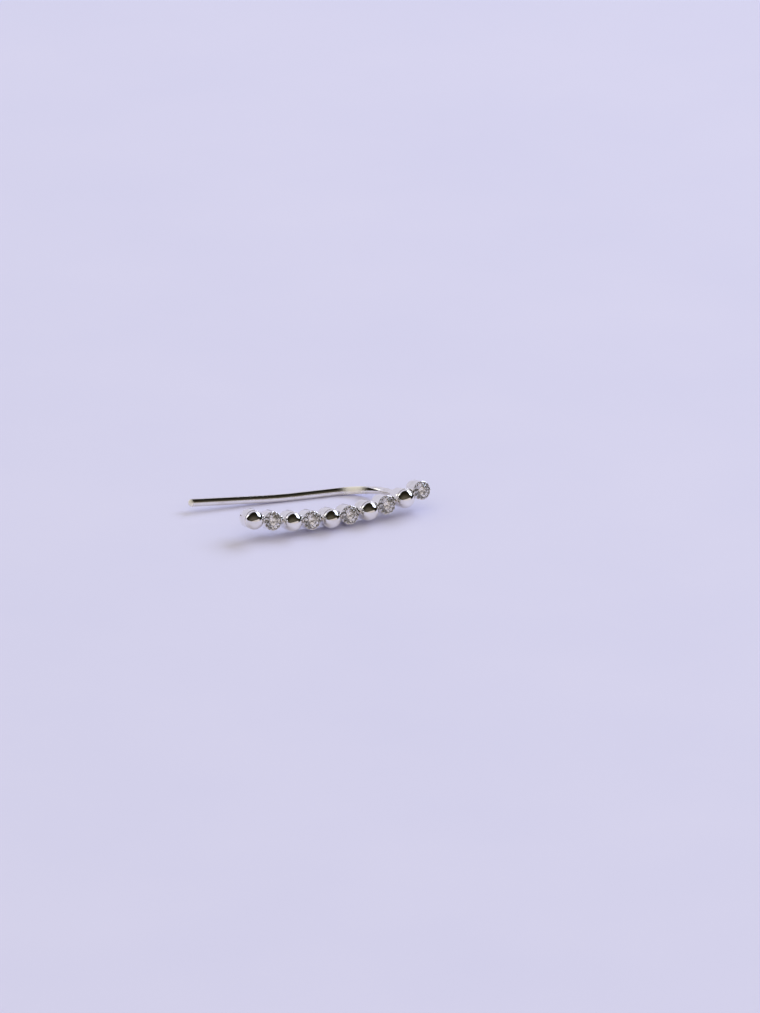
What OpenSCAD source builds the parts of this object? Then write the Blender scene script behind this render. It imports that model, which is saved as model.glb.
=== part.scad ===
// Ear climber: a curved row of alternating polished domes and round stone cups,
// with one bent ear wire soldered to the back of the last dome.
// Lengths are in millimetres. X runs along the row toward the end with the wire's bend,
// Y runs away from the faces, Z runs up. The piece lies on the plane z = 0.

/* [Row] */
// Distance between the centres of neighbouring settings
setting_pitch = 2.07; // [1.9:0.01:2.6]
// Outer diameter of every cup
setting_d = 1.9; // [1.6:0.02:2.4]
// Depth of a cup's round wall behind its front rim
setting_depth = 1.85; // [1.4:0.01:2.4]
// Radius of the row's curve in its own plane, with the ends up
row_curve_r = 37.6; // [25:0.1:80]
// Radius of the slight bow toward the viewer, seen from above
row_bow_r = 130; // [60:1:400]
// Backward lean of the row as it lies
row_lean = 13.6; // [4:0.1:25]
// Diameter of the short bars that join neighbouring settings
link_d = 0.9; // [0.5:0.05:1.2]

/* [Domes and cups] */
// Outer diameter of every dome's round wall
dome_d = 1.96; // [1.6:0.02:2.1]
// Width of the narrow ledge between a dome's wall and its ball-shaped front
dome_ledge = 0.03; // [0.02:0.01:0.1]
// How far a dome's wall stands in front of the cups' rims
dome_lead = 0.12; // [0.05:0.01:0.3]
// Depth of a dome's wall behind the cups' rims
dome_depth = 1.6; // [1.3:0.01:2.2]
// Chamfer round the back edge of every setting
back_chamfer = 0.12; // [0.05:0.01:0.3]
// Number of small grains that hold a stone
grain_count = 12; // [4:1:16]
// Diameter of one grain
grain_d = 0.2; // [0.16:0.01:0.24]
// Distance from a grain to the outer edge of the rim
grain_inset = 0.02; // [0.01:0.005:0.04]

/* [Stones] */
// Girdle diameter of a stone
stone_d = 1.64; // [1.3:0.01:1.66]
// Width of the table as a share of the girdle diameter
table_share = 0.56; // [0.5:0.01:0.65]
// Slope of the crown's main facets
crown_angle = 34.5; // [30:0.5:38]
// Slope of the pavilion's main facets
pavilion_angle = 41; // [39:0.5:43]
// Height of the girdle
girdle_h = 0.05; // [0.03:0.01:0.08]
// Clear gap between a stone and the metal
stone_gap = 0.03; // [0.02:0.01:0.05]

/* [Ear wire] */
// Diameter of the wire
wire_d = 0.8; // [0.6:0.05:1.0]
// Height of the solder joint above the centre of the dome's back
joint_lift = 0.28; // [0:0.02:0.4]
// Radius of the wire's main bend, on its centre line
bend_r = 4.5; // [3:0.1:4.8]
// Angle at which the wire opens away from the row
wire_opening = 7.7; // [2:0.1:14]
// Length of the straight stretch that lies flat
flat_len = 3.7; // [1:0.1:8]
// Radius of the gentle rise before the tip, on its centre line
rise_r = 60; // [20:1:150]
// Angle of the gentle rise
rise_angle = 3.7; // [1:0.1:12]
// Length of the straight tip, with its rounded end
tip_len = 7.6; // [4:0.1:12]

/* [Hidden] */
NODES = ["climber", "stone_1", "stone_2", "stone_3", "stone_4", "stone_5"];
$fn = 64;

// Counts that follow from the pieces
stone_count = len(NODES) - 1;
setting_count = 2 * stone_count;
last = setting_count - 1;
wire_setting = setting_count - 2;

// Radii and simple sizes
setting_r = setting_d / 2;
stone_r = stone_d / 2;
wire_r = wire_d / 2;
grain_r = grain_d / 2;
dome_edge_r = dome_d / 2;
dome_r = dome_edge_r - dome_ledge;
overlap = 0.4;
joint_lap = 0.1;
joint_step = 0.005;

// The stone, measured from the middle of its girdle along its own axis
table_r = stone_r * table_share;
crown_h = girdle_h / 2 + (stone_r - table_r) * tan(crown_angle);
pavilion_h = girdle_h / 2 + stone_r * tan(pavilion_angle);
main_facets = 8;
facet_step = 360 / main_facets;
half_step = facet_step / 2;
star_r = stone_r * 0.77;
star_h = crown_h - (star_r * cos(half_step) - table_r) * tan(crown_angle);
lower_r = stone_r * 0.22;
lower_h = lower_r * cos(half_step) * tan(pavilion_angle) - pavilion_h;
half_turn = 180 / grain_count;

// The seat and the grains, measured from the front rim
rim_lip = 0.08;
girdle_depth = rim_lip + girdle_h / 2;
seat_r = stone_r + stone_gap;
seat_top = rim_lip + girdle_h + stone_gap;
seat_end = seat_top + seat_r * tan(pavilion_angle);
grain_at_r = setting_r - grain_r - grain_inset;
grain_front = 0.06;
grain_sink = 0.02;

// Curve of the row: each setting's angle, place and directions before the lean
step_angle = 2 * asin(setting_pitch / (2 * row_curve_r));
function roll(i) = (i - last / 2) * step_angle;
function along(i) = row_curve_r * sin(roll(i));
function yaw(i) = asin(along(i) / row_bow_r);
function place(i) = [along(i), row_bow_r * (1 - cos(yaw(i))), row_curve_r * (1 - cos(roll(i)))];
function back_dir(i) = [-sin(yaw(i)), cos(yaw(i)), 0];
function up_dir(i) = [-sin(roll(i)) * cos(yaw(i)), -sin(roll(i)) * sin(yaw(i)), cos(roll(i))];
function leaned(v) = [
    v[0],
    v[1] * cos(row_lean) + v[2] * sin(row_lean),
    v[2] * cos(row_lean) - v[1] * sin(row_lean)
];

// The lowest point of the row touches the floor
function drop(v) = sqrt(1 - v[2] * v[2]);
function outer_r(i) = i % 2 == 0 ? dome_edge_r : setting_r;
function depth(i) = i % 2 == 0 ? dome_depth : setting_depth;
function foot(i) = leaned(place(i) + (depth(i) - back_chamfer) * back_dir(i))[2]
    - outer_r(i) * drop(leaned(back_dir(i)));
row_z = -min([for (i = [0 : last]) foot(i)]);

// The wire leaves the dome's back squarely, then meets the floor at its corner point
post_dir = leaned(back_dir(wire_setting));
post_foot = leaned(place(wire_setting) + dome_depth * back_dir(wire_setting)
    + joint_lift * up_dir(wire_setting)) + [0, 0, row_z];
corner_dist = (wire_r - post_foot[2]) / post_dir[2];
corner = post_foot + corner_dist * post_dir;
run_dir = [-cos(wire_opening), sin(wire_opening), 0];
bend_angle = acos(post_dir * run_dir);
bend_set_back = bend_r * tan(bend_angle / 2);
post_len = corner_dist - bend_set_back;
run_start = corner + bend_set_back * run_dir;
bend_normal = cross(post_dir, run_dir) / sin(bend_angle);
bend_roll = asin(bend_normal * leaned([cos(roll(wire_setting)) * cos(yaw(wire_setting)),
    cos(roll(wire_setting)) * sin(yaw(wire_setting)), sin(roll(wire_setting))]));

// End of the tip, for the centring of the whole piece
tip_straight = tip_len - wire_r;
rise_out = flat_len + rise_r * sin(rise_angle) + tip_straight * cos(rise_angle);
tip_end = run_start + rise_out * run_dir;
x_low = tip_end[0] - wire_r;
x_high = leaned(place(last))[0] + setting_r * cos(yaw(last));
dome_fronts = [for (i = [0 : 2 : last]) leaned(place(i) - dome_lead * back_dir(i))[1]];
y_low = min(dome_fronts) - dome_r;
y_high = tip_end[1] + wire_r;
centre_shift = [-(x_low + x_high) / 2, -(y_low + y_high) / 2, 0];

// Puts a setting's own frame in place: origin at the front rim, +Y to the back
module at_setting(i) {
    translate([0, 0, row_z])
        rotate([-row_lean, 0, 0])
            translate(place(i))
                rotate([0, 0, yaw(i)])
                    rotate([0, -roll(i), 0])
                        children();
}

// Turns a shape made along +Z so that it runs to the back
module to_back() {
    rotate([-90, 0, 0])
        children();
}

// The round wall of one setting, with its chamfered back edge
module wall(r, lead, depth) {
    to_back()
        rotate_extrude()
            polygon([
                [0, -lead],
                [r, -lead],
                [r, depth - back_chamfer],
                [r - back_chamfer, depth],
                [0, depth]
            ]);
}

// A polished dome: a ball that is half sunk in the front of the round wall
module dome_setting() {
    wall(dome_edge_r, dome_lead, dome_depth);
    translate([0, -dome_lead, 0])
        to_back()
            sphere(r = dome_r);
}

// The space for a stone: a round mouth and a cone below it
module seat() {
    to_back()
        rotate_extrude()
            polygon([
                [0, -overlap],
                [seat_r, -overlap],
                [seat_r, seat_top],
                [0, seat_end]
            ]);
}

// One grain: a small ball with a flat foot that is sunk in the rim
module grain() {
    translate([grain_at_r, -grain_front, 0])
        difference() {
            to_back()
                sphere(r = grain_r, $fn = 24);
            translate([-grain_d, grain_front + grain_sink, -grain_d])
                cube(2 * grain_d);
        }
}

// A cup for a stone with its ring of grains
module cup_setting() {
    difference() {
        wall(setting_r, 0, setting_depth);
        seat();
    }
    for (k = [0 : grain_count - 1])
        rotate([0, k * 2 * half_turn + half_turn, 0])
            grain();
}

// A short bar from a setting to the next one, inside their walls
module link(i) {
    a = place(i) + 0.6 * dome_depth * back_dir(i);
    b = place(i + 1) + 0.6 * dome_depth * back_dir(i + 1);
    run = b - a;
    translate([0, 0, row_z])
        rotate([-row_lean, 0, 0])
            translate(a)
                rotate([0, acos(run[2] / norm(run)), atan2(run[1], run[0])])
                    translate([0, 0, outer_r(i) - overlap / 2])
                        cylinder(h = norm(run) - dome_edge_r - setting_r + overlap, r = link_d / 2);
}

// A straight stretch of the wire along +Y, lapping the stretch before and after it
module straight(len, before, after) {
    translate([0, -before, 0])
        to_back()
            cylinder(h = before + len + after, r = wire_r);
}

// A bend of the wire from +Y toward -X, a hair thinner than the straight wire
module bend(r, angle) {
    translate([-r, 0, 0])
        rotate_extrude(angle = angle)
            translate([r, 0, 0])
                circle(r = wire_r - joint_step);
}

// Carries what follows to the end of such a bend
module after_bend(r, angle) {
    translate([-r, 0, 0])
        rotate([0, 0, angle])
            translate([r, 0, 0])
                children();
}

// The rounded end of the wire
module round_end() {
    difference() {
        to_back()
            sphere(r = wire_r);
        translate([-wire_d, -2 * wire_d, -wire_d])
            cube(2 * wire_d);
    }
}

// The ear wire: post, main bend, flat stretch, gentle rise and straight tip
module ear_wire() {
    at_setting(wire_setting)
        translate([0, dome_depth, joint_lift])
            rotate([0, bend_roll, 0]) {
                straight(post_len, overlap, joint_lap);
                translate([0, post_len, 0])
                    bend(bend_r, bend_angle);
            }
    translate(run_start)
        rotate([0, 0, 90 - wire_opening])
            rotate([0, 90, 0]) {
                straight(flat_len, joint_lap, joint_lap);
                translate([0, flat_len, 0]) {
                    bend(rise_r, rise_angle);
                    after_bend(rise_r, rise_angle) {
                        straight(tip_straight, joint_lap, 0);
                        translate([0, tip_straight, 0])
                            round_end();
                    }
                }
            }
}

// All the metal, as one solid
module climber() {
    color("silver")
        translate(centre_shift) {
            for (i = [0 : 2 : last])
                at_setting(i)
                    dome_setting();
            for (i = [1 : 2 : last])
                at_setting(i)
                    cup_setting();
            for (i = [0 : last - 1])
                link(i);
            ear_wire();
        }
}

// A ring of corners about the stone's axis
function ring(n, r, h, turn) = [for (k = [0 : n - 1]) [
    r * cos(turn + k * 360 / n),
    r * sin(turn + k * 360 / n),
    h
]];

// A round brilliant stone on the Z axis, with its table up
module cut_stone() {
    n = main_facets;
    // Where each ring of corners starts in the list
    table = 0;
    star = table + n;
    upper = star + n;
    lower = upper + 2 * n;
    pavilion = lower + 2 * n;
    culet = pavilion + n;
    corners = concat(
        ring(n, table_r, crown_h, 0),
        ring(n, star_r, star_h, half_step),
        ring(2 * n, stone_r, girdle_h / 2, 0),
        ring(2 * n, stone_r, -girdle_h / 2, 0),
        ring(n, lower_r, lower_h, half_step),
        [[0, 0, -pavilion_h]]
    );
    facets = concat(
        [[for (k = [n - 1 : -1 : 0]) table + k]],
        [for (k = [0 : n - 1]) [table + k, table + (k + 1) % n, star + k]],
        [for (k = [0 : n - 1]) [table + k, star + k, upper + 2 * k, star + (k + n - 1) % n]],
        [for (k = [0 : n - 1]) [star + k, upper + 2 * k + 1, upper + 2 * k]],
        [for (k = [0 : n - 1]) [star + k, upper + (2 * k + 2) % (2 * n), upper + 2 * k + 1]],
        [for (k = [0 : 2 * n - 1]) [
            upper + k,
            upper + (k + 1) % (2 * n),
            lower + (k + 1) % (2 * n),
            lower + k
        ]],
        [for (k = [0 : n - 1]) [pavilion + k, lower + 2 * k, lower + 2 * k + 1]],
        [for (k = [0 : n - 1]) [pavilion + k, lower + 2 * k + 1, lower + (2 * k + 2) % (2 * n)]],
        [for (k = [0 : n - 1]) [culet, pavilion + (k + n - 1) % n, lower + 2 * k, pavilion + k]]
    );
    polyhedron(points = corners, faces = facets, convexity = 2);
}

// A stone in its cup, counted from the free end of the row
module stone(n) {
    color("white")
        translate(centre_shift)
            at_setting(2 * n - 1)
                translate([0, girdle_depth, 0])
                    rotate([90, 0, 0])
                        cut_stone();
}

module stone_1() {
    stone(1);
}

module stone_2() {
    stone(2);
}

module stone_3() {
    stone(3);
}

module stone_4() {
    stone(4);
}

module stone_5() {
    stone(5);
}

climber();
stone_1();
stone_2();
stone_3();
stone_4();
stone_5();
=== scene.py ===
# %% [markdown]
# # An ear climber in polished silver
# The object is a curved row of ten small round settings, five polished domes and five cups
# with a clear stone, and one bent ear wire that is soldered to the back of the last dome.
# A solid model of it already exists, so this lesson starts by loading that model as a fixed
# frame. Every size below is in metres, and every piece is made where the frame says it is.

# %% Load the frame
from math import acos, asin, atan2, cos, degrees, hypot, pi, radians, sin, tan

import bmesh
import bpy
from mathutils import Matrix, Vector


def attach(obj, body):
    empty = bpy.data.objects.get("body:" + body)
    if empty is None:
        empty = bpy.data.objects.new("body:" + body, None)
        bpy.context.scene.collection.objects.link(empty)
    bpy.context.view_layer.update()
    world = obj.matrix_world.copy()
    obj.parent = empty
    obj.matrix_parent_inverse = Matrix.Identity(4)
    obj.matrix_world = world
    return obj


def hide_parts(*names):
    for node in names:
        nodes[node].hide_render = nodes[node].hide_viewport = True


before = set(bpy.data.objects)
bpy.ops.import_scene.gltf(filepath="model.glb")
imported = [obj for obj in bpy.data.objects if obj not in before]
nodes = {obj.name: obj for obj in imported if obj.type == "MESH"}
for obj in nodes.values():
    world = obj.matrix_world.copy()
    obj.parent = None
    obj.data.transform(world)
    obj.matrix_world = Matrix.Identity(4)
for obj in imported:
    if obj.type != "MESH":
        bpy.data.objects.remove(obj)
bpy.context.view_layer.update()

scene = bpy.context.scene

# %% [markdown]
# ## The bench card
# A maker writes the sizes on a card before the work starts. They could be measured on the
# solid model again and again, but the card is easier to read, so each step below has its own
# lines of it. They are the solid model's sizes, so that each new piece lands on the old one.
# These are the lines for the row as a whole: how many settings, how far apart, how bent.

# %% Sizes of the row
MM = 0.001
SETTINGS = 10
PITCH = 2.07 * MM
ROW_R = 37.6 * MM
BOW_R = 130 * MM
ROW_LEAN = radians(13.6)
CENTRE_SHIFT = Vector((0.917107, -4.86914, 0)) * MM
ROW_Z = 1.31727 * MM
STEP = 2 * asin(PITCH / (2 * ROW_R))
print("row of", SETTINGS, "settings,", round(PITCH * (SETTINGS - 1) / MM, 2), "mm along")

# %% [markdown]
# ## Where each setting sits
# The row is bent twice: up at both ends in its own plane, and a little toward the viewer in
# its middle. An Array modifier on a curve could repeat a setting along such a row, but its
# spacing would follow the curve and not the bench card. Here a matrix holds the place and the
# turn of one setting, so a piece can be made round its own axis and then sent exactly to its
# place. The origin of a setting is the middle of its front rim, and its own +Y runs back.

# %% Setting matrices
def setting_place(i):
    """The matrix that takes a piece made at the origin to setting i."""
    roll = (i - (SETTINGS - 1) / 2) * STEP
    along = ROW_R * sin(roll)
    yaw = asin(along / BOW_R)
    spot = Vector((along, BOW_R * (1 - cos(yaw)), ROW_R * (1 - cos(roll))))
    return (
        Matrix.Translation(CENTRE_SHIFT + Vector((0, 0, ROW_Z)))
        @ Matrix.Rotation(-ROW_LEAN, 4, "X")
        @ Matrix.Translation(spot)
        @ Matrix.Rotation(yaw, 4, "Z")
        @ Matrix.Rotation(-roll, 4, "Y")
    )


for i in (0, SETTINGS - 1):
    print("setting", i, "at", [round(v / MM, 3) for v in setting_place(i).translation])

# %% [markdown]
# ## A small lathe
# Turned parts are made as on a lathe: a short chain of points is the profile, and a full spin
# round the axis gives the skin. A Screw modifier would do the same, but the operator leaves a
# finished mesh that can be bevelled at once. Merging the doubles closes the poles, and the
# normals are worked out after that, so that they all point outwards.

# %% Lathe
TOUCH = 1e-7


def profile(bm, points):
    """A chain of edges through (radius, depth) points, in the plane x-y."""
    verts = [bm.verts.new((r, y, 0)) for r, y in points]
    edges = [bm.edges.new(pair) for pair in zip(verts, verts[1:])]
    return verts + edges


def arc(centre, radius, start, end, steps):
    """Points of an arc as (radius, depth), by angle from the axis."""
    turn = (end - start) / steps
    return [
        (centre[0] + radius * sin(start + k * turn), centre[1] - radius * cos(start + k * turn))
        for k in range(steps + 1)
    ]


def lathe(bm, geom, steps=72):
    """Spins a profile once round the Y axis and closes it."""
    bmesh.ops.spin(
        bm, geom=geom, cent=(0, 0, 0), axis=(0, 1, 0), angle=2 * pi, steps=steps, use_merge=True
    )
    bmesh.ops.remove_doubles(bm, verts=bm.verts, dist=TOUCH)
    bmesh.ops.recalc_face_normals(bm, faces=bm.faces)


trial = arc((0, 0), 1, 0, pi / 2, 3)
print("a quarter arc in three steps:", [(round(r, 2), round(y, 2)) for r, y in trial])

# %% [markdown]
# ## From a shape to a piece
# A bmesh is only a shape in memory. It becomes a piece of the scene when it is written to a
# mesh and the mesh gets an object. Every face could be smoothed alike, but then the hard
# edges would look inflated, so edges over a given angle stay sharp. All the metal is cast or
# soldered into one, so every piece made here stands for the same node of the solid model.

# %% Finish a piece
def finish_piece(name, bm, materials, smooth_angle=40):
    """Writes a bmesh to a new object that rides the frame and stands for the metal."""
    mesh = bpy.data.meshes.new(name)
    bm.to_mesh(mesh)
    bm.free()
    for material in materials:
        mesh.materials.append(material)
    mesh.shade_smooth()
    mesh.set_sharp_from_angle(angle=radians(smooth_angle))
    piece = bpy.data.objects.new(name, mesh)
    scene.collection.objects.link(piece)
    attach(piece, "root")
    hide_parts("climber")
    return piece


# %% [markdown]
# ## Patterns for a finish
# A finish is a small tree of nodes. It could be painted on an unwrapped picture, but a
# procedural one stays sharp however close the camera comes. Object coordinates keep the
# pattern fixed to the metal, and a noise is read at the real scale: a scale of 1000 means one
# wave in a millimetre. On this metal the tarnish and the wheel's ripples are about a
# millimetre wide, and the hair lines of the polishing about a sixth of that.

# %% Materials and noises
TARNISH_SCALE, RIPPLE_SCALE, HAIR_SCALE, CROSS_SCALE = 900, 1100, 6000, 9000


def new_material(name):
    """A material with its tree, its Principled shader and its object coordinates."""
    material = bpy.data.materials.new(name)
    material.use_nodes = True
    tree = material.node_tree
    shader = tree.nodes["Principled BSDF"]
    coords = tree.nodes.new("ShaderNodeTexCoord")
    return material, tree, shader, coords.outputs["Object"]


def noise(tree, vector, scale, detail=3.0, rough=0.5, stretch=None, turn=(0, 0, 0)):
    """A noise at so many waves per metre, drawn out by a Mapping where it is stretched."""
    if stretch:
        mapping = tree.nodes.new("ShaderNodeMapping")
        mapping.inputs["Scale"].default_value = stretch
        mapping.inputs["Rotation"].default_value = turn
        tree.links.new(vector, mapping.inputs["Vector"])
        vector = mapping.outputs["Vector"]
    node = tree.nodes.new("ShaderNodeTexNoise")
    node.inputs["Scale"].default_value = scale
    node.inputs["Detail"].default_value = detail
    node.inputs["Roughness"].default_value = rough
    tree.links.new(vector, node.inputs["Vector"])
    return node.outputs["Fac"]


scales = (TARNISH_SCALE, RIPPLE_SCALE, HAIR_SCALE, CROSS_SCALE)
print("one wave of each pattern, in mm:", [round(1 / scale / MM, 2) for scale in scales])

# %% [markdown]
# ## What a pattern does to the surface
# A noise is only a number from nought to one. A ramp turns it into a colour, a Map Range
# turns it into a roughness, and a Bump node tilts the reflections with it. Real relief could
# be cut into the mesh, but at a few thousandths of a millimetre it would cost millions of
# faces. The middle of a noise is used far more often than its ends, so only that is spread.

# %% Ramps and relief
NOISE_LOW, NOISE_HIGH = 0.3, 0.7


def ramp(tree, value, stops):
    """A colour ramp of (position, colour) stops."""
    node = tree.nodes.new("ShaderNodeValToRGB")
    elements = node.color_ramp.elements
    while len(elements) < len(stops):
        elements.new(0.5)
    for element, (position, colour) in zip(elements, stops):
        element.position = position
        element.color = (*colour, 1)
    tree.links.new(value, node.inputs["Fac"])
    return node.outputs["Color"]


def spread(tree, value, low, high):
    """Maps the usual range of a noise to low and high."""
    node = tree.nodes.new("ShaderNodeMapRange")
    node.inputs["From Min"].default_value = NOISE_LOW
    node.inputs["From Max"].default_value = NOISE_HIGH
    node.inputs["To Min"].default_value = low
    node.inputs["To Max"].default_value = high
    tree.links.new(value, node.inputs["Value"])
    return node.outputs["Result"]


def relief(tree, shader, layers):
    """Stacks bumps, each a (height, depth in metres, strength), into the shader's normal."""
    last = None
    for height, depth, strength in layers:
        bump = tree.nodes.new("ShaderNodeBump")
        bump.inputs["Strength"].default_value = strength
        bump.inputs["Distance"].default_value = depth
        tree.links.new(height, bump.inputs["Height"])
        if last:
            tree.links.new(last, bump.inputs["Normal"])
        last = bump.outputs["Normal"]
    tree.links.new(last, shader.inputs["Normal"])


print("noise values in use:", NOISE_LOW, "to", NOISE_HIGH)

# %% [markdown]
# ## Polished silver
# The metal is polished on a wheel, so it mirrors the room, but it isn't perfect: the colour
# shifts a little where it has begun to tarnish, and hair lines from the polishing cloth and
# the handling blur the mirror here and there. The wheel also leaves the curve a bit wavy. One
# even mirror would be quicker, but it looks like a computer's. So the mirror comes from a
# metallic Principled shader, and the wear from noises on its colour, roughness and bump. The
# domes, the cups, their seats and the wire are finished by different hands and tools, so
# each has a silver of its own. The seat's silver is also darker in colour: that is painted
# shade in the hollow under each stone.

# %% Silver finishes
def silver(name, wave, hair, rough_low, rough_high, hair_turn, painted_shade_factor=1.0):
    """A polished silver with its wheel waves, its hair lines and its faint tarnish; a
    painted_shade_factor below one darkens its colour as painted shade.
    """
    material, tree, shader, coords = new_material(name)
    cloud = noise(tree, coords, TARNISH_SCALE, 4)
    tarnish = ramp(
        tree,
        cloud,
        [
            (0.30, (0.82 * painted_shade_factor, 0.785 * painted_shade_factor, 0.725 * painted_shade_factor)),
            (0.52, (0.91 * painted_shade_factor, 0.885 * painted_shade_factor, 0.84 * painted_shade_factor)),
            (0.75, (0.95 * painted_shade_factor, 0.93 * painted_shade_factor, 0.89 * painted_shade_factor)),
        ],
    )
    tree.links.new(tarnish, shader.inputs["Base Color"])
    shader.inputs["Metallic"].default_value = 1.0
    lines = noise(tree, coords, HAIR_SCALE, 5, 0.65, stretch=(0.12, 1, 1), turn=hair_turn)
    cross = noise(
        tree, coords, CROSS_SCALE, 3, 0.6, stretch=(1, 0.15, 1), turn=(0.4, 0.3, 1.1)
    )
    tree.links.new(spread(tree, lines, rough_low, rough_high), shader.inputs["Roughness"])
    waves = noise(tree, coords, RIPPLE_SCALE, 2)
    relief(tree, shader, [(waves, wave, 1.0), (lines, hair, 0.5), (cross, hair, 0.35)])
    return material


dome_silver = silver("polished_dome_silver", 1.6e-5, 4e-7, 0.03, 0.10, (0, 0, 0.5))
cup_silver = silver("bright_cut_cup_silver", 1.2e-5, 6e-7, 0.03, 0.10, (0.3, 0, 0))
# The seat silver is darkened to 0.75: painted shade in the hollow under the stone.
seat_silver_painted_shade = silver("matt_seat_painted_shade_silver", 1.2e-5, 2e-6, 0.25, 0.4, (0.3, 0, 0), painted_shade_factor=0.75)
wire_silver = silver("drawn_wire_silver", 1.2e-5, 6e-7, 0.06, 0.14, (0, 0, 0.13))
print("finishes:", [m.name for m in (dome_silver, cup_silver, seat_silver_painted_shade, wire_silver)])

# %% [markdown]
# ## Paler places on the wire: painted highlights
# Two places on the wire are made rougher and paler: the bend and the tip. The paler metal is a
# painted highlight, which stands in for bright reflections there. They could be pieces of their
# own with a dull finish, but the change would then have a hard edge. Instead the distance to a
# spot raises the roughness and lowers the metallic value, so the metal scatters light like a
# pale paint.

# %% Rough spots with painted highlights
def roughen_and_paint_highlight(material, spot, inner, outer, extra, painted_highlight_share=0.0):
    """Makes the metal rougher by extra round a spot, and paler there as a painted highlight by
    lowering its metallic value.
    """
    tree = material.node_tree
    shader = tree.nodes["Principled BSDF"]
    coords = tree.nodes["Texture Coordinate"].outputs["Object"]
    far = tree.nodes.new("ShaderNodeVectorMath")
    far.operation = "DISTANCE"
    far.inputs[1].default_value = spot
    tree.links.new(coords, far.inputs[0])
    near = tree.nodes.new("ShaderNodeMapRange")
    near.interpolation_type = "SMOOTHSTEP"
    near.inputs["From Min"].default_value = inner
    near.inputs["From Max"].default_value = outer
    near.inputs["To Min"].default_value = 1.0
    near.inputs["To Max"].default_value = 0.0
    tree.links.new(far.outputs["Value"], near.inputs["Value"])
    # Lowering the metallic value paints the spot paler: a painted highlight.
    for name, amount in (("Roughness", extra), ("Metallic", -painted_highlight_share)):
        socket = shader.inputs[name]
        add = tree.nodes.new("ShaderNodeMath")
        add.operation = "MULTIPLY_ADD"
        tree.links.new(near.outputs["Result"], add.inputs[0])
        add.inputs[1].default_value = amount
        if socket.is_linked:
            tree.links.new(socket.links[0].from_socket, add.inputs[2])
        else:
            add.inputs[2].default_value = socket.default_value
        tree.links.new(add.outputs["Value"], socket)


# The bend and the tip get a painted highlight: the paler metal stands in for bright
# reflections.
BEND_HIGHLIGHT_SPOT = Vector((6.1, 2.95, 0.6)) * MM
TIP_HIGHLIGHT_SPOT = Vector((-11.08, 5.5, 0.95)) * MM
roughen_and_paint_highlight(wire_silver, BEND_HIGHLIGHT_SPOT, 0.4 * MM, 1.9 * MM, 0.3, painted_highlight_share=0.85)
roughen_and_paint_highlight(wire_silver, TIP_HIGHLIGHT_SPOT, 0.4 * MM, 0.65 * MM, 0.35, painted_highlight_share=0.6)
for spot in (BEND_HIGHLIGHT_SPOT, TIP_HIGHLIGHT_SPOT):
    print("frosted at", [round(v / MM, 2) for v in spot], "mm")

# %% [markdown]
# ## The domes
# A dome is a half ball on a short round wall. It could be half a sphere set on a cylinder,
# but those would be two shells with a seam. Turning it in one go gives one closed skin: its
# profile is an arc for the ball, a narrow ledge, a straight line for the wall and a flat
# back. The ledge and the back edge get a small bevel, because a polishing wheel never leaves
# a sharp corner, and that round edge is what catches a thin line of light. The ball is a
# thousandth of a millimetre smaller than in the solid model, as if polished down.

# %% Make the domes
DOME_WALL_R = 0.98 * MM
DOME_BALL_R = 0.949 * MM
DOME_LEAD = 0.12 * MM
DOME_DEPTH = 1.6 * MM
BALL_STEPS = 24
LEDGE_ROUND = 0.02 * MM
BACK_EDGE = 0.12 * MM


def round_edges(bm, radius, depth, width, segments=4):
    """Bevels the hoop of edges that has this radius and lies at this depth along Y."""
    hoops = [
        e
        for e in bm.edges
        if all(
            abs(v.co.y - depth) < TOUCH and abs(hypot(v.co.x, v.co.z) - radius) < TOUCH
            for v in e.verts
        )
    ]
    bmesh.ops.bevel(
        bm,
        geom=hoops,
        offset=width,
        segments=segments,
        profile=0.5,
        affect="EDGES",
        material=-1,
        clamp_overlap=True,
    )


for n in range(SETTINGS // 2):
    bm = bmesh.new()
    ball = arc((0, -DOME_LEAD), DOME_BALL_R, 0, pi / 2, BALL_STEPS)
    wall = [(DOME_WALL_R, -DOME_LEAD), (DOME_WALL_R, DOME_DEPTH), (0, DOME_DEPTH)]
    lathe(bm, profile(bm, ball + wall))
    round_edges(bm, DOME_WALL_R, -DOME_LEAD, LEDGE_ROUND, 3)
    round_edges(bm, DOME_WALL_R, DOME_DEPTH, BACK_EDGE)
    bm.transform(setting_place(2 * n))
    dome = finish_piece(f"dome_{n + 1}", bm, [dome_silver])
print("domes:", n + 1, "faces each:", len(dome.data.polygons))

# %% [markdown]
# ## The cups
# A cup has the same wall, but its front is drilled: a thin rim, a short straight mouth and a
# cone that follows the underside of the stone. A Boolean could drill it and leave ragged
# faces round the hole. One profile that holds the inside and the outside is cleaner, because
# the spin makes the whole closed wall at once. It is written down here, from the bottom of
# the cone, out over the rim and down the wall to the middle of the back.

# %% Profile of a cup
SETTING_R = 0.95 * MM
SETTING_DEPTH = 1.85 * MM
SEAT_R = 0.85 * MM
SEAT_TOP = 0.16 * MM
SEAT_SLOPE = radians(41)
SEAT_END = SEAT_TOP + SEAT_R * tan(SEAT_SLOPE)
RIM_EDGE = 0.025 * MM
CUP_BACK_ROUND = 1.15 * BACK_EDGE
CUP_PROFILE = [
    (0, SEAT_END),
    (SEAT_R, SEAT_TOP),
    (SEAT_R, RIM_EDGE),
    (SEAT_R + RIM_EDGE, 0),
    (SETTING_R - RIM_EDGE, 0),
    (SETTING_R, RIM_EDGE),
    (SETTING_R, SETTING_DEPTH),
    (0, SETTING_DEPTH),
]
print("the cone ends", round(SEAT_END / MM, 2), "mm deep, the cup", SETTING_DEPTH / MM, "mm")

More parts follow.
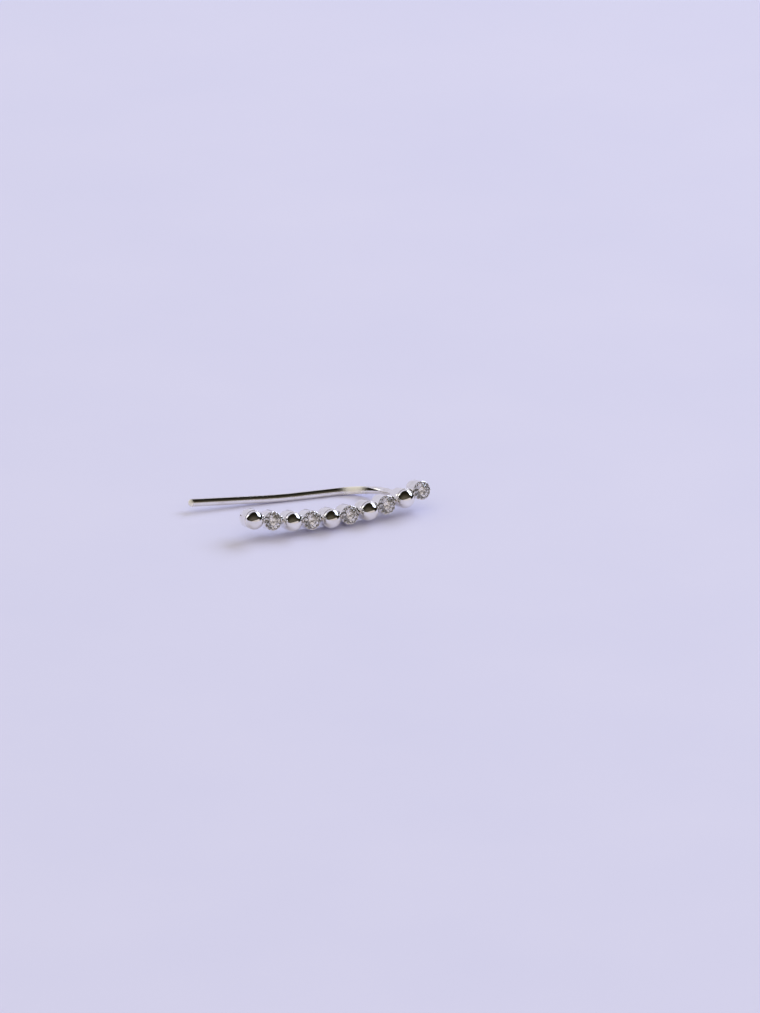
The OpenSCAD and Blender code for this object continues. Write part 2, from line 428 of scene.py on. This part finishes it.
# %% [markdown]
# Twelve grains of silver hold the stone, and the setter cuts the rim down a little between
# them. That wave could be carved with more Booleans, but the spun points are already there:
# each one on the rim is moved back by a cosine of its angle. The grains are small balls from
# an icosphere, sunk a little into the rim, because such a ball has no pole that could show.
# The seat under the stone stays matt, since no tool can polish it, so its faces get the
# second material, which is also darker: painted shade in the hollow under the stone.

# %% Make the cups
GRAINS = 12
GRAIN_R = 0.1 * MM
GRAIN_INSET = 0.02 * MM
GRAIN_FRONT = 0.06 * MM
STEPS_PER_GRAIN = 12
RIM_CUT = 0.05 * MM
NEAR = 0.01


def bright_cut(bm):
    """Sinks the rim between the grains, and gives the seat below the stone the matt silver,
    whose darker colour is painted shade.
    """
    for v in bm.verts:
        if v.co.y <= RIM_EDGE * (1 + NEAR) and hypot(v.co.x, v.co.z) > SEAT_R * (1 - NEAR):
            v.co.y += RIM_CUT * (0.5 + 0.5 * cos(GRAINS * atan2(v.co.x, v.co.z)))
    for face in bm.faces:
        middle = face.calc_center_median()
        if hypot(middle.x, middle.z) < SEAT_R and middle.y < SEAT_END:
            # The seat's second material is darker: painted shade under the stone.
            face.material_index = 1


def grain_round(bm, k):
    """One grain of silver that is pushed over the edge of the stone."""
    turn = (k + 0.5) * 2 * pi / GRAINS
    top = Vector((SETTING_R - GRAIN_R - GRAIN_INSET, -GRAIN_FRONT, 0))
    spot = Matrix.Rotation(turn, 4, "Y") @ top
    bmesh.ops.create_icosphere(
        bm, subdivisions=3, radius=GRAIN_R, matrix=Matrix.Translation(spot)
    )


for n in range(SETTINGS // 2):
    bm = bmesh.new()
    lathe(bm, profile(bm, CUP_PROFILE), steps=STEPS_PER_GRAIN * GRAINS)
    round_edges(bm, SETTING_R, SETTING_DEPTH, CUP_BACK_ROUND)
    bright_cut(bm)
    for k in range(GRAINS):
        grain_round(bm, k)
    bm.transform(setting_place(2 * n + 1))
    cup = finish_piece(f"cup_{n + 1}", bm, [cup_silver, seat_silver_painted_shade])
print("cups:", n + 1, "faces each:", len(cup.data.polygons))

# %% [markdown]
# ## A tube from a ring
# The bars and the wire are round rods. A rod could be a cylinder, but that can't swell where
# the solder has run. A curve with a bevel could, by the radius of its points, but it would
# have to be turned into a mesh afterwards. So a rod starts as a ring of edges, and the ring
# is extruded again and again. Each push leaves a wall behind it and may scale the new ring,
# which is how a tube gets a thick foot or a rounded tip.

# %% Ring tools
def ring_at(bm, spot, direction, radius, segments=32):
    """A circle of edges round a direction."""
    place = Matrix.Translation(spot) @ direction.to_track_quat("Z", "X").to_matrix().to_4x4()
    made = bmesh.ops.create_circle(bm, segments=segments, radius=radius, matrix=place)
    return list({e for v in made["verts"] for e in v.link_edges})


def push_ring(bm, ring, move, scale=1.0):
    """Extrudes a ring by a move and scales its new end, and gives the new ring."""
    made = bmesh.ops.extrude_edge_only(bm, edges=ring)["geom"]
    verts = [g for g in made if isinstance(g, bmesh.types.BMVert)]
    bmesh.ops.translate(bm, verts=verts, vec=move)
    if scale != 1.0:
        middle = sum((v.co for v in verts), Vector()) / len(verts)
        bmesh.ops.scale(
            bm, verts=verts, vec=(scale,) * 3, space=Matrix.Translation(-middle)
        )
    return [g for g in made if isinstance(g, bmesh.types.BMEdge) and g.is_boundary]


bm = bmesh.new()
ring = push_ring(bm, ring_at(bm, Vector(), Vector((0, 1, 0)), 1.0), Vector((0, 1, 0)), 0.5)
print("a trial push makes", len(bm.faces), "faces and leaves a ring of", len(ring), "edges")
bm.free()

# %% [markdown]
# ## The joining bars
# The settings don't touch: a short bar runs from each one to the next, and the solder
# leaves a soft foot where it meets the wall. A plain cylinder would meet the wall in a hard
# line, so the bar is a row of pushes: out of the wall, over the foot, along the bar, over the
# other foot and into the next wall. A small table holds the length of each push and the
# radius at its end.

# %% Make the bars
BAR_R = 0.45 * MM
LAP = 0.2 * MM
BAR_DEPTH = 0.6 * DOME_DEPTH
FOOT_SHARE = 0.45
KNEE_SHARE, KNEE_PLACE = 0.35, 0.4

bm = bmesh.new()
for i in range(SETTINGS - 1):
    ends = [setting_place(j) @ Vector((0, BAR_DEPTH, 0)) for j in (i, i + 1)]
    run = ends[1] - ends[0]
    way = run.normalized()
    wall_r = SETTING_R if i % 2 else DOME_WALL_R
    reach = run.length - DOME_WALL_R - SETTING_R
    foot = reach * FOOT_SHARE
    wide, knee = BAR_R + foot, BAR_R + foot * KNEE_SHARE
    stretches = [
        (LAP, wide),
        (foot * KNEE_PLACE, knee),
        (foot * (1 - KNEE_PLACE), BAR_R),
        (reach - 2 * foot, BAR_R),
        (foot * (1 - KNEE_PLACE), knee),
        (foot * KNEE_PLACE, wide),
        (LAP, wide),
    ]
    radius = wide
    ring = ring_at(bm, ends[0] + way * (wall_r - LAP), way, radius)
    for length, new_radius in stretches:
        ring = push_ring(bm, ring, way * length, new_radius / radius)
        radius = new_radius
bmesh.ops.holes_fill(bm, edges=[e for e in bm.edges if e.is_boundary], sides=0)
bmesh.ops.recalc_face_normals(bm, faces=bm.faces)
bars = finish_piece("joining_bars", bm, [cup_silver])
print("bars:", SETTINGS - 1, "faces:", len(bars.data.polygons))

# %% [markdown]
# ## The ear wire
# The wire leaves the back of the last dome squarely, bends round to run behind the
# row, lies on the table for a short stretch and then rises very gently to its rounded tip.
# Its path could be drawn by eye, but it has to lie flat on the table just where the bend
# ends. So the foot, the two directions and the angle between them are worked out first, and
# they give the length of the straight post.

# %% Path of the ear wire
WIRE_SETTING = 8
WIRE_R = 0.4 * MM
JOINT_LIFT = 0.28 * MM
BEND_R = 4.5 * MM
WIRE_OPENING = radians(7.7)
dome_place = setting_place(WIRE_SETTING)
post_dir = (dome_place.to_3x3() @ Vector((0, 1, 0))).normalized()
post_foot = dome_place @ Vector((0, DOME_DEPTH, JOINT_LIFT))
run_dir = Vector((-cos(WIRE_OPENING), sin(WIRE_OPENING), 0))
bend_angle = acos(post_dir.dot(run_dir))
corner_dist = (WIRE_R - post_foot.z) / post_dir.z
post_len = corner_dist - BEND_R * tan(bend_angle / 2)
print("post:", round(post_len / MM, 3), "mm, bend:", round(degrees(bend_angle), 1), "degrees")

# %% [markdown]
# A curve could draw the wire, but the steps of its foot and its tip are easier to set ring by
# ring. So it is one tube: the ring is pushed along the straight stretches and spun round the
# two bends. A foot of solder starts it. The tip was cut off square and then rounded with a
# file, so the last rings shrink slowly at first and fast at the end.

# %% Make the ear wire
FLAT_LEN = 3.7 * MM
RISE_R = 60 * MM
RISE_ANGLE = radians(3.7)
TIP_LEN = 7.6 * MM
WIRE_SIDES, BEND_STEPS, RISE_STEPS = 48, 40, 8
SOLDER = 0.16 * MM
FOOT_STEPS = 6
POST_LAP = 0.1 * MM
TIP_ROUND, BLUNT = 0.4 * MM, 0.9
TIP_STEPS, TIP_QUARTER = 12, 12.4
TIP_TRIM = 0.02 * MM


def spin_ring(bm, ring, centre, axis, angle, steps):
    """Carries a ring round a bend and gives the new ring."""
    verts = list({v for e in ring for v in e.verts})
    made = bmesh.ops.spin(
        bm, geom=ring + verts, cent=centre, axis=axis, angle=angle, steps=steps
    )["geom_last"]
    return [g for g in made if isinstance(g, bmesh.types.BMEdge)]


bm = bmesh.new()
radius = WIRE_R + SOLDER
ring = ring_at(bm, post_foot - post_dir * POST_LAP, post_dir, radius, WIRE_SIDES)
ring = push_ring(bm, ring, post_dir * POST_LAP)
depth = 0
for k in range(1, FOOT_STEPS + 1):
    turn = k * pi / 2 / FOOT_STEPS
    new_radius = WIRE_R + SOLDER * (1 - sin(turn))
    new_depth = SOLDER * (1 - cos(turn))
    ring = push_ring(bm, ring, post_dir * (new_depth - depth), new_radius / radius)
    radius, depth = new_radius, new_depth
ring = push_ring(bm, ring, post_dir * (post_len - SOLDER))
spot = post_foot + post_dir * post_len
inward = (run_dir - post_dir * run_dir.dot(post_dir)).normalized()
bend_axis = post_dir.cross(run_dir)
ring = spin_ring(bm, ring, spot + inward * BEND_R, bend_axis, bend_angle, BEND_STEPS)
ring = push_ring(bm, ring, run_dir * FLAT_LEN)
middle = sum((v.co for e in ring for v in e.verts), Vector()) / (2 * len(ring))
rise_axis = run_dir.cross((0, 0, 1))
above = middle + Vector((0, 0, RISE_R))
ring = spin_ring(bm, ring, above, rise_axis, RISE_ANGLE, RISE_STEPS)
tip_dir = Matrix.Rotation(RISE_ANGLE, 3, rise_axis) @ run_dir
ring = push_ring(bm, ring, tip_dir * (TIP_LEN - WIRE_R - TIP_TRIM))
radius, depth = WIRE_R, 0
for k in range(1, TIP_STEPS + 1):
    turn = k * pi / 2 / TIP_QUARTER
    new_radius, new_depth = WIRE_R * cos(turn) ** BLUNT, TIP_ROUND * sin(turn) ** BLUNT
    ring = push_ring(bm, ring, tip_dir * (new_depth - depth), new_radius / radius)
    radius, depth = new_radius, new_depth
bmesh.ops.holes_fill(bm, edges=[e for e in bm.edges if e.is_boundary], sides=0)
bmesh.ops.recalc_face_normals(bm, faces=bm.faces)
ear_wire = finish_piece("ear_wire", bm, [wire_silver], 60)
print("wire faces:", len(ear_wire.data.polygons))

# %% [markdown]
# ## The stones
# The solid model already holds each stone as a round brilliant with its real facets. It
# could be cut again from a cone with bisect_plane, but that would only risk its exact angles,
# so its shape stays and the material alone is new. A clear stone is a glass with a high index
# of refraction. A trace of dust and faint polishing lines keep it from looking like a hole.

# %% Stone finish
DUST_SCALE, LINE_SCALE = 2500, 12000


def clear_stone():
    """A clear cut stone: bright refraction, faint dust and polishing lines."""
    material, tree, shader, coords = new_material("clear_cut_stone")
    cloud = noise(tree, coords, DUST_SCALE, 4)
    tint = ramp(tree, cloud, [(0.3, (0.94, 0.92, 0.88)), (0.7, (1.0, 0.98, 0.94))])
    tree.links.new(tint, shader.inputs["Base Color"])
    shader.inputs["Transmission Weight"].default_value = 1.0
    shader.inputs["IOR"].default_value = 2.17
    lines = noise(
        tree, coords, LINE_SCALE, 3, 0.6, stretch=(0.2, 1, 1), turn=(0.5, 0.2, 0.7)
    )
    tree.links.new(spread(tree, lines, 0.0, 0.015), shader.inputs["Roughness"])
    relief(tree, shader, [(lines, 1.5e-7, 0.4)])
    return material


gem = clear_stone()
for n in range(1, SETTINGS // 2 + 1):
    stone = nodes[f"stone_{n}"]
    stone.data.materials.clear()
    stone.data.materials.append(gem)
print("stones:", n, "triangles each:", len(stone.data.polygons))

# %% [markdown]
# ## The floor
# The piece lies on smooth pale lavender card. A plane would do, but a large disc has no
# corners that could show in a reflection. It has a faint paper grain, and its tint shifts a
# little from place to place.

# %% Floor
FLOOR_R = 4.0
TINT_SCALE, PAPER_SCALE = 40, 3000

bm = bmesh.new()
bmesh.ops.create_circle(bm, cap_ends=True, segments=96, radius=FLOOR_R)
mesh = bpy.data.meshes.new("floor")
bm.to_mesh(mesh)
bm.free()
floor = bpy.data.objects.new("floor", mesh)
scene.collection.objects.link(floor)
card, tree, shader, coords = new_material("lavender_card")
tint = ramp(
    tree,
    noise(tree, coords, TINT_SCALE, 3),
    [(0.3, (0.655, 0.655, 0.895)), (0.7, (0.675, 0.672, 0.905))],
)
tree.links.new(tint, shader.inputs["Base Color"])
shader.inputs["Roughness"].default_value = 0.75
shader.inputs["Specular IOR Level"].default_value = 0.25
relief(tree, shader, [(noise(tree, coords, PAPER_SCALE, 4), 8e-6, 0.3)])
mesh.materials.append(card)
print("floor radius:", FLOOR_R, "m")

# %% [markdown]
# ## The light
# Polished metal shows the room more than itself, so its light is built like a small photo
# studio. One soft window of light stands to the right, about forty degrees up, and gives the
# white spot on every dome and the soft shadow to the left. Pale cards stand round the piece,
# and only the mirrors of the metal and the stones see them. A picture of a real room could
# do all this at once, but single cards can be moved until each reflection sits right.

# %% Light and card tools
LIGHT_FAR = 2.5


def aim(thing, spot, target):
    """Puts a light at a spot and turns its -Z to the target."""
    thing.location = spot
    thing.rotation_euler = (Vector(target) - Vector(spot)).to_track_quat("-Z", "Y").to_euler()


def area_light(name, way, width, height, watts, colour):
    """A soft window of light, LIGHT_FAR away, that looks at the middle of the piece."""
    data = bpy.data.lights.new(name, "AREA")
    data.shape = "RECTANGLE"
    data.size, data.size_y = width, height
    data.energy = watts
    data.color = colour
    light = bpy.data.objects.new(name, data)
    scene.collection.objects.link(light)
    aim(light, Vector(way).normalized() * LIGHT_FAR, (0, 0, 0))
    return light


def pale_card(name, corners, colour, strength):
    """A glowing card that only mirrors and stones see."""
    bm = bmesh.new()
    bm.faces.new([bm.verts.new(c) for c in corners])
    mesh = bpy.data.meshes.new(name)
    bm.to_mesh(mesh)
    bm.free()
    material = bpy.data.materials.new(name)
    material.use_nodes = True
    shader = material.node_tree.nodes["Principled BSDF"]
    shader.inputs["Base Color"].default_value = (0, 0, 0, 1)
    shader.inputs["Emission Color"].default_value = (*colour, 1)
    shader.inputs["Emission Strength"].default_value = strength
    mesh.materials.append(material)
    made = bpy.data.objects.new(name, mesh)
    made.visible_camera = False
    made.visible_shadow = False
    made.visible_diffuse = False
    scene.collection.objects.link(made)
    return made


print("the window stands", LIGHT_FAR, "m off")

# %% [markdown]
# The window is a little blue, like daylight, and the cards are near the colour of the floor.
# Each card is one face between four corners: a wide one behind, a low one in front and a
# narrow white one at the back on the left, which gives the bend of the wire its bright spot.

# %% Window and cards
BACK_Y, BACK_SIDE, BACK_TOP = 3.2, 3.6, 3.6

key = area_light("key_window", (0.74, 0.17, 0.66), 2.4, 1.3, 42, (0.72, 0.79, 1.0))
back_card = pale_card(
    "back_card",
    [
        (-BACK_SIDE, BACK_Y, 0),
        (BACK_SIDE, BACK_Y, 0),
        (BACK_SIDE, BACK_Y, BACK_TOP),
        (-BACK_SIDE, BACK_Y, BACK_TOP),
    ],
    (0.64, 0.63, 0.77),
    1.0,
)
low_card = pale_card(
    "low_card",
    [(-3.2, -2.4, 0), (2.4, -2.4, 0), (2.4, -2.4, 1.1), (-3.2, -2.4, 0.25)],
    (0.68, 0.62, 0.64),
    1.0,
)
left_card = pale_card(
    "left_card",
    [(-1.75, 1.55, 0.35), (-1.15, 1.95, 0.35), (-1.15, 1.95, 1.5), (-1.75, 1.55, 1.5)],
    (1.0, 0.99, 0.98),
    1.6,
)
print("window:", key.name, "cards:", [c.name for c in (back_card, low_card, left_card)])

# %% [markdown]
# ## The room
# The world is the room around the piece. One even colour would be simplest, but metal needs
# dark patches to look like metal. So its mirrors see a dark room that grows paler toward the
# front, by a ramp on the direction. Light bounces many times inside a cut stone, so the
# bounce limits go up, or its facets would turn black.

# %% A dark room for the mirrors
ROOM_FRONT = (-0.45, -0.85, 0.0)

scene.cycles.max_bounces = 24
scene.cycles.glossy_bounces = 16
scene.cycles.transmission_bounces = 24
world = bpy.data.worlds.new("studio")
world.use_nodes = True
scene.world = world
tree = world.node_tree
way = tree.nodes.new("ShaderNodeTexCoord")
side = tree.nodes.new("ShaderNodeVectorMath")
side.operation = "DOT_PRODUCT"
side.inputs[1].default_value = ROOM_FRONT
tree.links.new(way.outputs["Generated"], side.inputs[0])
room = tree.nodes["Background"]
tree.links.new(
    ramp(
        tree,
        side.outputs["Value"],
        [
            (0.0, (0.012, 0.010, 0.006)),
            (0.35, (0.032, 0.028, 0.020)),
            (0.75, (0.10, 0.088, 0.068)),
        ],
    ),
    room.inputs["Color"],
)
print("bounces:", scene.cycles.max_bounces, "off metal:", scene.cycles.glossy_bounces)

# %% [markdown]
# The floor needs more light than that room holds, or the shadows turn black or blue. A second
# lamp would throw shadows of its own, so the fill comes from the world: the Light Path node
# gives each kind of ray its own room. The floor gets a warm fill that comes mostly from the
# front, so that it reaches under the row, and the camera sees the floor's colour past its
# edge.

# %% A fill for the floor
FRONT_SHARE = 0.9

path = tree.nodes.new("ShaderNodeLightPath")
front_fill = tree.nodes.new("ShaderNodeMapRange")
front_fill.inputs["From Min"].default_value = -1.0
front_fill.inputs["To Min"].default_value = 1.0 - FRONT_SHARE
front_fill.inputs["To Max"].default_value = 1.0 + FRONT_SHARE
tree.links.new(side.outputs["Value"], front_fill.inputs["Value"])
for kind, colour, strength in (
    ("Is Diffuse Ray", (0.772, 0.722, 0.595), front_fill.outputs["Result"]),
    ("Is Camera Ray", (0.66, 0.66, 0.86), None),
):
    wall = tree.nodes.new("ShaderNodeBackground")
    wall.inputs["Color"].default_value = (*colour, 1)
    if strength:
        tree.links.new(strength, wall.inputs["Strength"])
    pick = tree.nodes.new("ShaderNodeMixShader")
    tree.links.new(path.outputs[kind], pick.inputs["Fac"])
    tree.links.new(room.outputs[0], pick.inputs[1])
    tree.links.new(wall.outputs["Background"], pick.inputs[2])
    room = pick
tree.links.new(room.outputs[0], tree.nodes["World Output"].inputs["Surface"])
scene.view_settings.view_transform = "Standard"
print("fill from", round(1 - FRONT_SHARE, 2), "behind to", 1 + FRONT_SHARE, "in front")

# %% [markdown]
# ## The camera
# The camera looks down at twenty-two degrees from the left of the row. A short lens close by
# would show the near end too large, so it stands far off and looks through a long lens, and
# the row keeps its true shape.

# %% Camera
AZIMUTH, ELEVATION = radians(-24.8), radians(22)
DISTANCE = 1.0
FRAME_HEIGHT = 0.1013
SENSOR = 36
AIM_RIGHT, AIM_UP = 6.779 * MM, 0.740 * MM
to_camera = Vector(
    (sin(AZIMUTH) * cos(ELEVATION), -cos(AZIMUTH) * cos(ELEVATION), sin(ELEVATION))
)
right = Vector((cos(AZIMUTH), sin(AZIMUTH), 0))
up = to_camera.cross(right)
look_at = right * AIM_RIGHT + up * AIM_UP
camera_data = bpy.data.cameras.new("camera")
camera_data.sensor_width = SENSOR
camera_data.lens = SENSOR * DISTANCE / FRAME_HEIGHT
camera_data.clip_start, camera_data.clip_end = 0.01, 20
camera = bpy.data.objects.new("camera", camera_data)
scene.collection.objects.link(camera)
camera.location = look_at + to_camera * DISTANCE
camera.rotation_euler = (-to_camera).to_track_quat("-Z", "Y").to_euler()
scene.camera = camera
print("lens:", round(camera_data.lens), "mm at", DISTANCE, "m")
